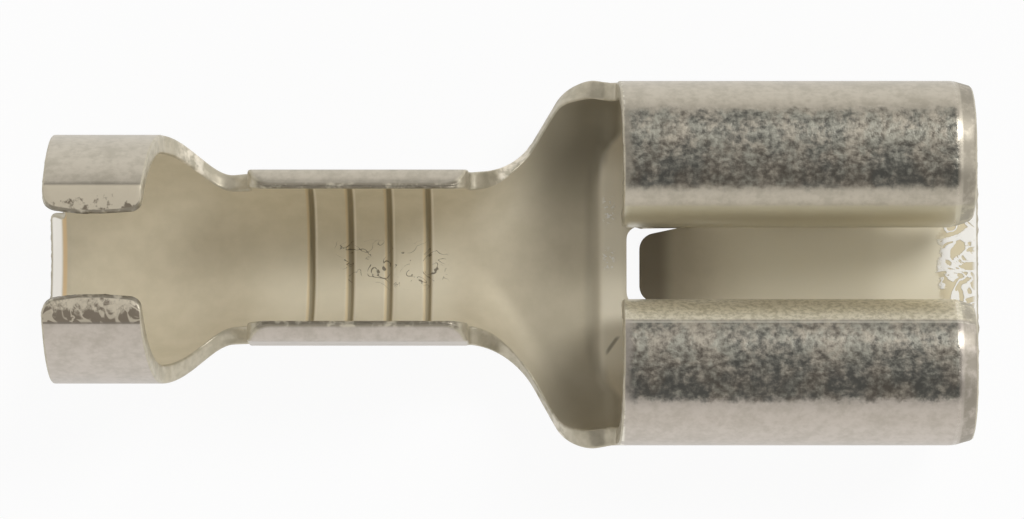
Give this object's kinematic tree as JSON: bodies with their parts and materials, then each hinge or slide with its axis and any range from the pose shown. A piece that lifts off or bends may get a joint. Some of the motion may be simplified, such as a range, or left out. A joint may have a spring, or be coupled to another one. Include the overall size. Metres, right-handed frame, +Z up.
{
  "type": "female spade terminal",
  "caption": "Uninsulated female spade terminal, stamped and folded from tinned brass sheet, with two open crimp barrels, curled receptacle and locking lance.",
  "frame": {"origin": "bottom centre of the bounding box, on the plane of symmetry, at the height of the lance's free edge", "axes": "+X along the terminal from the insulation barrel to the mouth that takes the tab, +Z up out of the open side of the barrels, +Y across"},
  "size_m": [0.02, 0.0078, 0.0056],
  "materials": {
    "tinned_brass": "matt to satin tin plate, dark speckle on the crowns of the curls"
  },
  "bodies": {
    "root": {"terminal": "tinned_brass"}
  },
  "joints": []
}
